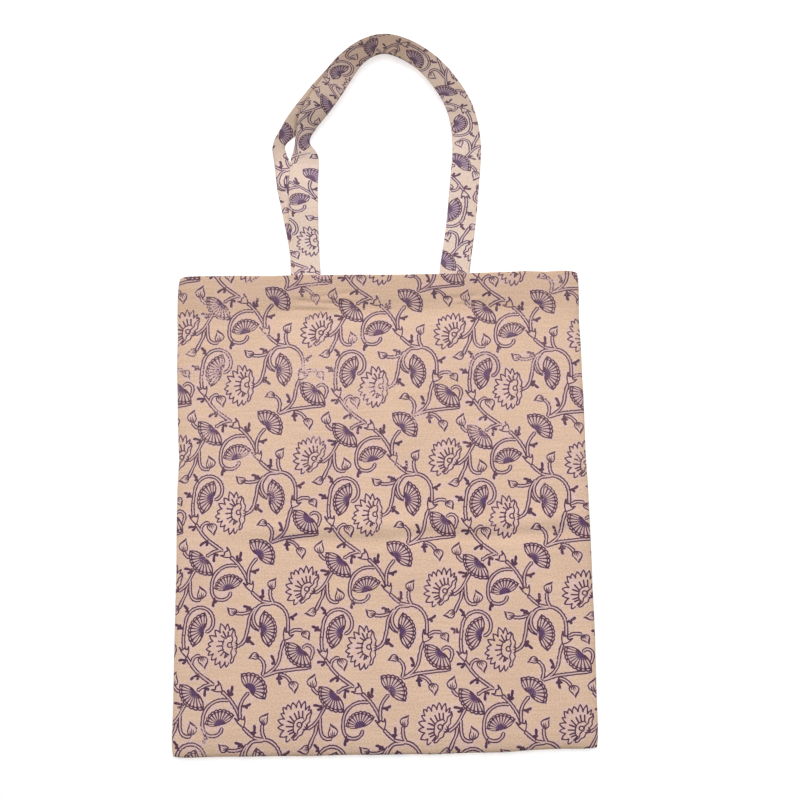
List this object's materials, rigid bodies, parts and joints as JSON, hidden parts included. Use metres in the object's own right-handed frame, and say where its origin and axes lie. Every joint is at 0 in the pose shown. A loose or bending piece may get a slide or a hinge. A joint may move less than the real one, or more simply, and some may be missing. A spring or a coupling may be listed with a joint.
{
  "type": "printed bag",
  "caption": "Flat cotton shopping bag with an all-over block-printed floral vine, a turned hem round its mouth and long strap handles.",
  "frame": {"origin": "centre of the back panel's underside, where the bag lies on a surface", "axes": "+X to the bag's right as seen from the front, +Y up the bag to its mouth and handles, +Z out of the front panel"},
  "size_m": [0.36, 0.6553, 0.0174],
  "materials": {
    "printed_cotton": "matte plain-weave cotton with a printed pattern",
    "printed_strap": "matte folded cotton strap with a printed pattern"
  },
  "bodies": {
    "root": {"back_panel": "printed_cotton", "front_panel": "printed_cotton", "back_handle": "printed_strap", "front_handle": "printed_strap"}
  },
  "joints": []
}
